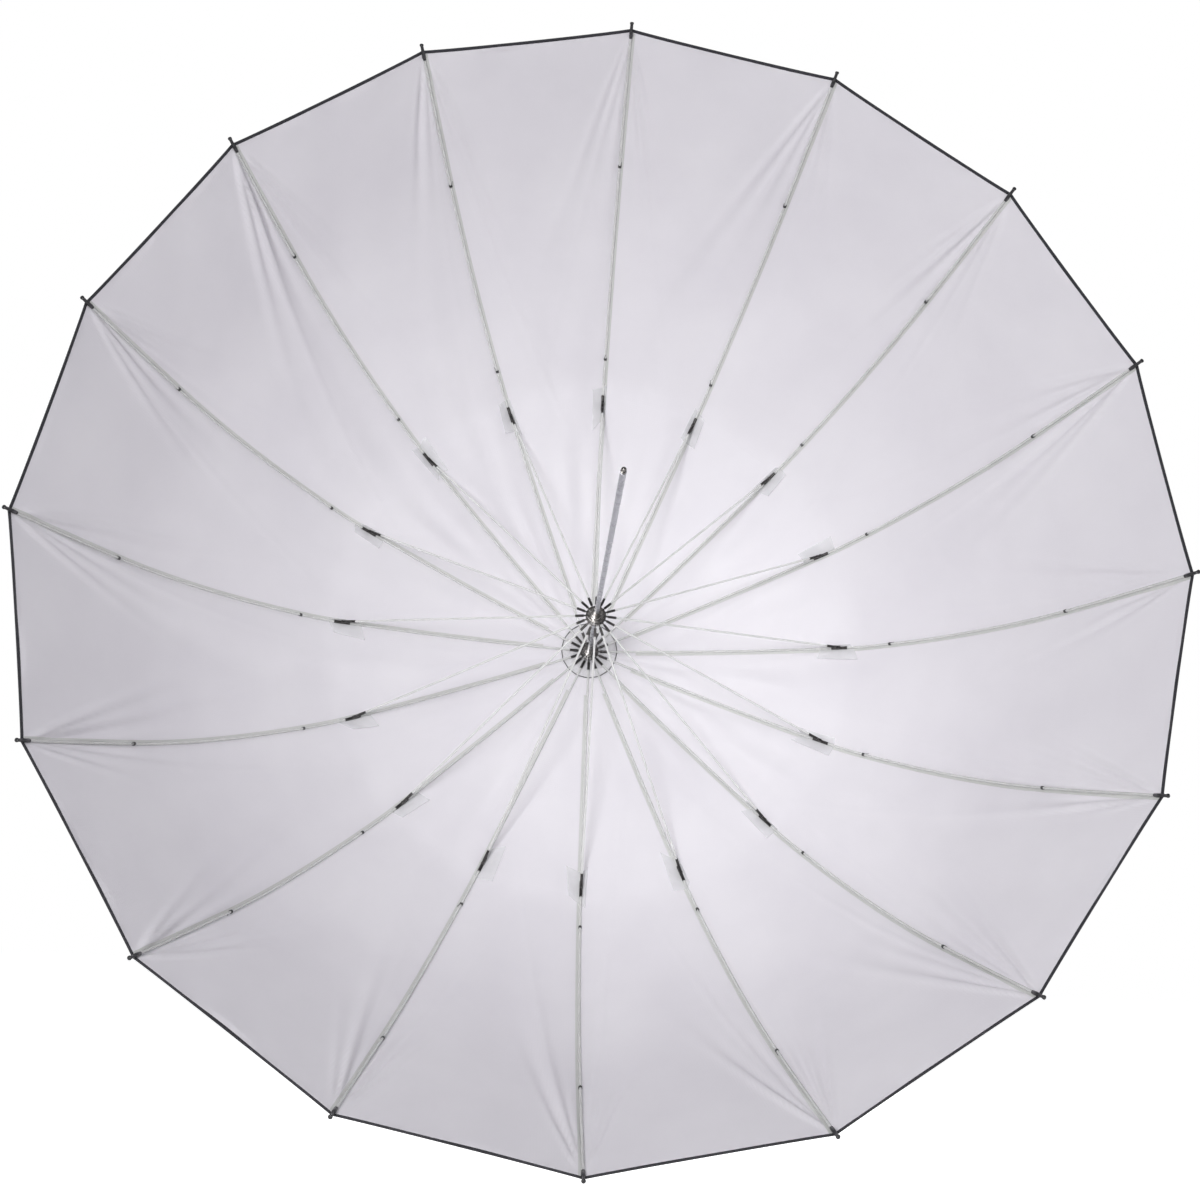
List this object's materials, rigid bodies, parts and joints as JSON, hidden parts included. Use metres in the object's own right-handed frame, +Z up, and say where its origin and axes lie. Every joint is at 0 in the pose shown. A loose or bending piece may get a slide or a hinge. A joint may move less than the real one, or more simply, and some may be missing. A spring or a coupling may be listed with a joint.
{
  "type": "umbrella reflector",
  "caption": "Deep photographic umbrella with fibreglass ribs and stretchers, a white reflective lining under a black cover, a sliding runner and a plain round shaft.",
  "frame": {"origin": "on the shaft's axis, in the middle of the stretch that an umbrella holder grips", "axes": "-Y along the shaft, out of the bowl's mouth; +Z up through the first rib"},
  "size_m": [1.6302, 1.017, 1.6302],
  "materials": {
    "fibreglass": "satin, translucent, pale green",
    "white_fabric": "thin white diffusing cloth",
    "black_fabric": "black tightly woven cloth",
    "hem_tape": "black tape",
    "shaft_metal": "satin tube",
    "cap_plastic": "glossy black",
    "hub_plastic": "moulded black",
    "spring_steel": "bright drawn wire",
    "clear_disc": "translucent sheet"
  },
  "bodies": {
    "shaft_and_notch": {"shaft": "shaft_metal", "shaft_cap": "cap_plastic", "notch": "hub_plastic", "notch_wire": "spring_steel", "rear_cap": "cap_plastic", "apex_disc": "clear_disc", "canopy": "white_fabric", "cover": "black_fabric", "hem": "hem_tape"},
    "catch": {"catch": "spring_steel"},
    "runner": {"runner": "hub_plastic", "runner_wire": "spring_steel"},
    "rib_inner_01": {"rib_inner_01": "fibreglass"},
    "rib_outer_01": {"rib_outer_01": "fibreglass"},
    "stretcher_01": {"stretcher_01": "fibreglass"},
    "rib_inner_02": {"rib_inner_02": "fibreglass"},
    "rib_outer_02": {"rib_outer_02": "fibreglass"},
    "stretcher_02": {"stretcher_02": "fibreglass"},
    "rib_inner_03": {"rib_inner_03": "fibreglass"},
    "rib_outer_03": {"rib_outer_03": "fibreglass"},
    "stretcher_03": {"stretcher_03": "fibreglass"},
    "rib_inner_04": {"rib_inner_04": "fibreglass"},
    "rib_outer_04": {"rib_outer_04": "fibreglass"},
    "stretcher_04": {"stretcher_04": "fibreglass"},
    "rib_inner_05": {"rib_inner_05": "fibreglass"},
    "rib_outer_05": {"rib_outer_05": "fibreglass"},
    "stretcher_05": {"stretcher_05": "fibreglass"},
    "rib_inner_06": {"rib_inner_06": "fibreglass"},
    "rib_outer_06": {"rib_outer_06": "fibreglass"},
    "stretcher_06": {"stretcher_06": "fibreglass"},
    "rib_inner_07": {"rib_inner_07": "fibreglass"},
    "rib_outer_07": {"rib_outer_07": "fibreglass"},
    "stretcher_07": {"stretcher_07": "fibreglass"},
    "rib_inner_08": {"rib_inner_08": "fibreglass"},
    "rib_outer_08": {"rib_outer_08": "fibreglass"},
    "stretcher_08": {"stretcher_08": "fibreglass"},
    "rib_inner_09": {"rib_inner_09": "fibreglass"},
    "rib_outer_09": {"rib_outer_09": "fibreglass"},
    "stretcher_09": {"stretcher_09": "fibreglass"},
    "rib_inner_10": {"rib_inner_10": "fibreglass"},
    "rib_outer_10": {"rib_outer_10": "fibreglass"},
    "stretcher_10": {"stretcher_10": "fibreglass"},
    "rib_inner_11": {"rib_inner_11": "fibreglass"},
    "rib_outer_11": {"rib_outer_11": "fibreglass"},
    "stretcher_11": {"stretcher_11": "fibreglass"},
    "rib_inner_12": {"rib_inner_12": "fibreglass"},
    "rib_outer_12": {"rib_outer_12": "fibreglass"},
    "stretcher_12": {"stretcher_12": "fibreglass"},
    "rib_inner_13": {"rib_inner_13": "fibreglass"},
    "rib_outer_13": {"rib_outer_13": "fibreglass"},
    "stretcher_13": {"stretcher_13": "fibreglass"},
    "rib_inner_14": {"rib_inner_14": "fibreglass"},
    "rib_outer_14": {"rib_outer_14": "fibreglass"},
    "stretcher_14": {"stretcher_14": "fibreglass"},
    "rib_inner_15": {"rib_inner_15": "fibreglass"},
    "rib_outer_15": {"rib_outer_15": "fibreglass"},
    "stretcher_15": {"stretcher_15": "fibreglass"},
    "rib_inner_16": {"rib_inner_16": "fibreglass"},
    "rib_outer_16": {"rib_outer_16": "fibreglass"},
    "stretcher_16": {"stretcher_16": "fibreglass"}
  },
  "joints": [
    {"name": "rib_fold_01", "type": "hinge", "parent": "shaft_and_notch", "child": "rib_inner_01", "pos_m": [0, 0.663, 0.014], "axis": [1, 0, 0], "range_deg": [0, 68], "deforming": ["canopy", "cover", "hem", "catch"]},
    {"name": "rib_flex_01", "type": "hinge", "parent": "rib_inner_01", "child": "rib_outer_01", "pos_m": [0, 0.52364, 0.45447], "axis": [1, 0, 0], "range_deg": [-38.25, 0]},
    {"name": "stretcher_turn_01", "type": "hinge", "parent": "rib_inner_01", "child": "stretcher_01", "pos_m": [0, 0.52518, 0.43817], "axis": [1, 0, 0], "range_deg": [-136, 0]},
    {"name": "rib_fold_02", "type": "hinge", "parent": "shaft_and_notch", "child": "rib_inner_02", "pos_m": [0.00536, 0.663, 0.01293], "axis": [0.9239, 0, -0.3827], "range_deg": [0, 68]},
    {"name": "rib_flex_02", "type": "hinge", "parent": "rib_inner_02", "child": "rib_outer_02", "pos_m": [0.17392, 0.52364, 0.41988], "axis": [0.9239, 0, -0.3827], "range_deg": [-38.25, 0]},
    {"name": "stretcher_turn_02", "type": "hinge", "parent": "rib_inner_02", "child": "stretcher_02", "pos_m": [0.16768, 0.52518, 0.40482], "axis": [0.9239, 0, -0.3827], "range_deg": [-136, 0]},
    {"name": "rib_fold_03", "type": "hinge", "parent": "shaft_and_notch", "child": "rib_inner_03", "pos_m": [0.0099, 0.663, 0.0099], "axis": [0.7071, 0, -0.7071], "range_deg": [0, 68]},
    {"name": "rib_flex_03", "type": "hinge", "parent": "rib_inner_03", "child": "rib_outer_03", "pos_m": [0.32136, 0.52364, 0.32136], "axis": [0.7071, 0, -0.7071], "range_deg": [-38.25, 0]},
    {"name": "stretcher_turn_03", "type": "hinge", "parent": "rib_inner_03", "child": "stretcher_03", "pos_m": [0.30983, 0.52518, 0.30983], "axis": [0.7071, 0, -0.7071], "range_deg": [-136, 0]},
    {"name": "rib_fold_04", "type": "hinge", "parent": "shaft_and_notch", "child": "rib_inner_04", "pos_m": [0.01293, 0.663, 0.00536], "axis": [0.3827, 0, -0.9239], "range_deg": [0, 68]},
    {"name": "rib_flex_04", "type": "hinge", "parent": "rib_inner_04", "child": "rib_outer_04", "pos_m": [0.41988, 0.52364, 0.17392], "axis": [0.3827, 0, -0.9239], "range_deg": [-38.25, 0]},
    {"name": "stretcher_turn_04", "type": "hinge", "parent": "rib_inner_04", "child": "stretcher_04", "pos_m": [0.40482, 0.52518, 0.16768], "axis": [0.3827, 0, -0.9239], "range_deg": [-136, 0]},
    {"name": "rib_fold_05", "type": "hinge", "parent": "shaft_and_notch", "child": "rib_inner_05", "pos_m": [0.014, 0.663, 0], "axis": [0, 0, -1], "range_deg": [0, 68]},
    {"name": "rib_flex_05", "type": "hinge", "parent": "rib_inner_05", "child": "rib_outer_05", "pos_m": [0.45447, 0.52364, 0], "axis": [0, 0, -1], "range_deg": [-38.25, 0]},
    {"name": "stretcher_turn_05", "type": "hinge", "parent": "rib_inner_05", "child": "stretcher_05", "pos_m": [0.43817, 0.52518, 0], "axis": [0, 0, -1], "range_deg": [-136, 0]},
    {"name": "rib_fold_06", "type": "hinge", "parent": "shaft_and_notch", "child": "rib_inner_06", "pos_m": [0.01293, 0.663, -0.00536], "axis": [-0.3827, 0, -0.9239], "range_deg": [0, 68]},
    {"name": "rib_flex_06", "type": "hinge", "parent": "rib_inner_06", "child": "rib_outer_06", "pos_m": [0.41988, 0.52364, -0.17392], "axis": [-0.3827, 0, -0.9239], "range_deg": [-38.25, 0]},
    {"name": "stretcher_turn_06", "type": "hinge", "parent": "rib_inner_06", "child": "stretcher_06", "pos_m": [0.40482, 0.52518, -0.16768], "axis": [-0.3827, 0, -0.9239], "range_deg": [-136, 0]},
    {"name": "rib_fold_07", "type": "hinge", "parent": "shaft_and_notch", "child": "rib_inner_07", "pos_m": [0.0099, 0.663, -0.0099], "axis": [-0.7071, 0, -0.7071], "range_deg": [0, 68]},
    {"name": "rib_flex_07", "type": "hinge", "parent": "rib_inner_07", "child": "rib_outer_07", "pos_m": [0.32136, 0.52364, -0.32136], "axis": [-0.7071, 0, -0.7071], "range_deg": [-38.25, 0]},
    {"name": "stretcher_turn_07", "type": "hinge", "parent": "rib_inner_07", "child": "stretcher_07", "pos_m": [0.30983, 0.52518, -0.30983], "axis": [-0.7071, 0, -0.7071], "range_deg": [-136, 0]},
    {"name": "rib_fold_08", "type": "hinge", "parent": "shaft_and_notch", "child": "rib_inner_08", "pos_m": [0.00536, 0.663, -0.01293], "axis": [-0.9239, 0, -0.3827], "range_deg": [0, 68]},
    {"name": "rib_flex_08", "type": "hinge", "parent": "rib_inner_08", "child": "rib_outer_08", "pos_m": [0.17392, 0.52364, -0.41988], "axis": [-0.9239, 0, -0.3827], "range_deg": [-38.25, 0]},
    {"name": "stretcher_turn_08", "type": "hinge", "parent": "rib_inner_08", "child": "stretcher_08", "pos_m": [0.16768, 0.52518, -0.40482], "axis": [-0.9239, 0, -0.3827], "range_deg": [-136, 0]},
    {"name": "rib_fold_09", "type": "hinge", "parent": "shaft_and_notch", "child": "rib_inner_09", "pos_m": [0, 0.663, -0.014], "axis": [-1, 0, 0], "range_deg": [0, 68]},
    {"name": "rib_flex_09", "type": "hinge", "parent": "rib_inner_09", "child": "rib_outer_09", "pos_m": [0, 0.52364, -0.45447], "axis": [-1, 0, 0], "range_deg": [-38.25, 0]},
    {"name": "stretcher_turn_09", "type": "hinge", "parent": "rib_inner_09", "child": "stretcher_09", "pos_m": [0, 0.52518, -0.43817], "axis": [-1, 0, 0], "range_deg": [-136, 0]},
    {"name": "rib_fold_10", "type": "hinge", "parent": "shaft_and_notch", "child": "rib_inner_10", "pos_m": [-0.00536, 0.663, -0.01293], "axis": [-0.9239, 0, 0.3827], "range_deg": [0, 68]},
    {"name": "rib_flex_10", "type": "hinge", "parent": "rib_inner_10", "child": "rib_outer_10", "pos_m": [-0.17392, 0.52364, -0.41988], "axis": [-0.9239, 0, 0.3827], "range_deg": [-38.25, 0]},
    {"name": "stretcher_turn_10", "type": "hinge", "parent": "rib_inner_10", "child": "stretcher_10", "pos_m": [-0.16768, 0.52518, -0.40482], "axis": [-0.9239, 0, 0.3827], "range_deg": [-136, 0]},
    {"name": "rib_fold_11", "type": "hinge", "parent": "shaft_and_notch", "child": "rib_inner_11", "pos_m": [-0.0099, 0.663, -0.0099], "axis": [-0.7071, 0, 0.7071], "range_deg": [0, 68]},
    {"name": "rib_flex_11", "type": "hinge", "parent": "rib_inner_11", "child": "rib_outer_11", "pos_m": [-0.32136, 0.52364, -0.32136], "axis": [-0.7071, 0, 0.7071], "range_deg": [-38.25, 0]},
    {"name": "stretcher_turn_11", "type": "hinge", "parent": "rib_inner_11", "child": "stretcher_11", "pos_m": [-0.30983, 0.52518, -0.30983], "axis": [-0.7071, 0, 0.7071], "range_deg": [-136, 0]},
    {"name": "rib_fold_12", "type": "hinge", "parent": "shaft_and_notch", "child": "rib_inner_12", "pos_m": [-0.01293, 0.663, -0.00536], "axis": [-0.3827, 0, 0.9239], "range_deg": [0, 68]},
    {"name": "rib_flex_12", "type": "hinge", "parent": "rib_inner_12", "child": "rib_outer_12", "pos_m": [-0.41988, 0.52364, -0.17392], "axis": [-0.3827, 0, 0.9239], "range_deg": [-38.25, 0]},
    {"name": "stretcher_turn_12", "type": "hinge", "parent": "rib_inner_12", "child": "stretcher_12", "pos_m": [-0.40482, 0.52518, -0.16768], "axis": [-0.3827, 0, 0.9239], "range_deg": [-136, 0]},
    {"name": "rib_fold_13", "type": "hinge", "parent": "shaft_and_notch", "child": "rib_inner_13", "pos_m": [-0.014, 0.663, 0], "axis": [0, 0, 1], "range_deg": [0, 68]},
    {"name": "rib_flex_13", "type": "hinge", "parent": "rib_inner_13", "child": "rib_outer_13", "pos_m": [-0.45447, 0.52364, 0], "axis": [0, 0, 1], "range_deg": [-38.25, 0]},
    {"name": "stretcher_turn_13", "type": "hinge", "parent": "rib_inner_13", "child": "stretcher_13", "pos_m": [-0.43817, 0.52518, 0], "axis": [0, 0, 1], "range_deg": [-136, 0]},
    {"name": "rib_fold_14", "type": "hinge", "parent": "shaft_and_notch", "child": "rib_inner_14", "pos_m": [-0.01293, 0.663, 0.00536], "axis": [0.3827, 0, 0.9239], "range_deg": [0, 68]},
    {"name": "rib_flex_14", "type": "hinge", "parent": "rib_inner_14", "child": "rib_outer_14", "pos_m": [-0.41988, 0.52364, 0.17392], "axis": [0.3827, 0, 0.9239], "range_deg": [-38.25, 0]},
    {"name": "stretcher_turn_14", "type": "hinge", "parent": "rib_inner_14", "child": "stretcher_14", "pos_m": [-0.40482, 0.52518, 0.16768], "axis": [0.3827, 0, 0.9239], "range_deg": [-136, 0]},
    {"name": "rib_fold_15", "type": "hinge", "parent": "shaft_and_notch", "child": "rib_inner_15", "pos_m": [-0.0099, 0.663, 0.0099], "axis": [0.7071, 0, 0.7071], "range_deg": [0, 68]},
    {"name": "rib_flex_15", "type": "hinge", "parent": "rib_inner_15", "child": "rib_outer_15", "pos_m": [-0.32136, 0.52364, 0.32136], "axis": [0.7071, 0, 0.7071], "range_deg": [-38.25, 0]},
    {"name": "stretcher_turn_15", "type": "hinge", "parent": "rib_inner_15", "child": "stretcher_15", "pos_m": [-0.30983, 0.52518, 0.30983], "axis": [0.7071, 0, 0.7071], "range_deg": [-136, 0]},
    {"name": "rib_fold_16", "type": "hinge", "parent": "shaft_and_notch", "child": "rib_inner_16", "pos_m": [-0.00536, 0.663, 0.01293], "axis": [0.9239, 0, 0.3827], "range_deg": [0, 68]},
    {"name": "rib_flex_16", "type": "hinge", "parent": "rib_inner_16", "child": "rib_outer_16", "pos_m": [-0.17392, 0.52364, 0.41988], "axis": [0.9239, 0, 0.3827], "range_deg": [-38.25, 0]},
    {"name": "stretcher_turn_16", "type": "hinge", "parent": "rib_inner_16", "child": "stretcher_16", "pos_m": [-0.16768, 0.52518, 0.40482], "axis": [0.9239, 0, 0.3827], "range_deg": [-136, 0]},
    {"name": "runner_turn", "type": "hinge", "parent": "stretcher_01", "child": "runner", "pos_m": [0, 0.38736, 0.014], "axis": [1, 0, 0], "range_deg": [0, 68]},
    {"name": "catch_press", "type": "slide", "parent": "shaft_and_notch", "child": "catch", "axis": [0, 0, -1], "range_m": [0, 0.0024], "stiffness_N_per_m": 800}
  ],
  "couplings": [
    {"joint": "rib_flex_01", "follows": "rib_fold_01", "ratio": -0.5625},
    {"joint": "stretcher_turn_01", "follows": "rib_fold_01", "ratio": -2},
    {"joint": "rib_fold_02", "follows": "rib_fold_01", "ratio": 1},
    {"joint": "rib_flex_02", "follows": "rib_fold_01", "ratio": -0.5625},
    {"joint": "stretcher_turn_02", "follows": "rib_fold_01", "ratio": -2},
    {"joint": "rib_fold_03", "follows": "rib_fold_01", "ratio": 1},
    {"joint": "rib_flex_03", "follows": "rib_fold_01", "ratio": -0.5625},
    {"joint": "stretcher_turn_03", "follows": "rib_fold_01", "ratio": -2},
    {"joint": "rib_fold_04", "follows": "rib_fold_01", "ratio": 1},
    {"joint": "rib_flex_04", "follows": "rib_fold_01", "ratio": -0.5625},
    {"joint": "stretcher_turn_04", "follows": "rib_fold_01", "ratio": -2},
    {"joint": "rib_fold_05", "follows": "rib_fold_01", "ratio": 1},
    {"joint": "rib_flex_05", "follows": "rib_fold_01", "ratio": -0.5625},
    {"joint": "stretcher_turn_05", "follows": "rib_fold_01", "ratio": -2},
    {"joint": "rib_fold_06", "follows": "rib_fold_01", "ratio": 1},
    {"joint": "rib_flex_06", "follows": "rib_fold_01", "ratio": -0.5625},
    {"joint": "stretcher_turn_06", "follows": "rib_fold_01", "ratio": -2},
    {"joint": "rib_fold_07", "follows": "rib_fold_01", "ratio": 1},
    {"joint": "rib_flex_07", "follows": "rib_fold_01", "ratio": -0.5625},
    {"joint": "stretcher_turn_07", "follows": "rib_fold_01", "ratio": -2},
    {"joint": "rib_fold_08", "follows": "rib_fold_01", "ratio": 1},
    {"joint": "rib_flex_08", "follows": "rib_fold_01", "ratio": -0.5625},
    {"joint": "stretcher_turn_08", "follows": "rib_fold_01", "ratio": -2},
    {"joint": "rib_fold_09", "follows": "rib_fold_01", "ratio": 1},
    {"joint": "rib_flex_09", "follows": "rib_fold_01", "ratio": -0.5625},
    {"joint": "stretcher_turn_09", "follows": "rib_fold_01", "ratio": -2},
    {"joint": "rib_fold_10", "follows": "rib_fold_01", "ratio": 1},
    {"joint": "rib_flex_10", "follows": "rib_fold_01", "ratio": -0.5625},
    {"joint": "stretcher_turn_10", "follows": "rib_fold_01", "ratio": -2},
    {"joint": "rib_fold_11", "follows": "rib_fold_01", "ratio": 1},
    {"joint": "rib_flex_11", "follows": "rib_fold_01", "ratio": -0.5625},
    {"joint": "stretcher_turn_11", "follows": "rib_fold_01", "ratio": -2},
    {"joint": "rib_fold_12", "follows": "rib_fold_01", "ratio": 1},
    {"joint": "rib_flex_12", "follows": "rib_fold_01", "ratio": -0.5625},
    {"joint": "stretcher_turn_12", "follows": "rib_fold_01", "ratio": -2},
    {"joint": "rib_fold_13", "follows": "rib_fold_01", "ratio": 1},
    {"joint": "rib_flex_13", "follows": "rib_fold_01", "ratio": -0.5625},
    {"joint": "stretcher_turn_13", "follows": "rib_fold_01", "ratio": -2},
    {"joint": "rib_fold_14", "follows": "rib_fold_01", "ratio": 1},
    {"joint": "rib_flex_14", "follows": "rib_fold_01", "ratio": -0.5625},
    {"joint": "stretcher_turn_14", "follows": "rib_fold_01", "ratio": -2},
    {"joint": "rib_fold_15", "follows": "rib_fold_01", "ratio": 1},
    {"joint": "rib_flex_15", "follows": "rib_fold_01", "ratio": -0.5625},
    {"joint": "stretcher_turn_15", "follows": "rib_fold_01", "ratio": -2},
    {"joint": "rib_fold_16", "follows": "rib_fold_01", "ratio": 1},
    {"joint": "rib_flex_16", "follows": "rib_fold_01", "ratio": -0.5625},
    {"joint": "stretcher_turn_16", "follows": "rib_fold_01", "ratio": -2},
    {"joint": "runner_turn", "follows": "rib_fold_01", "ratio": 1}
  ]
}
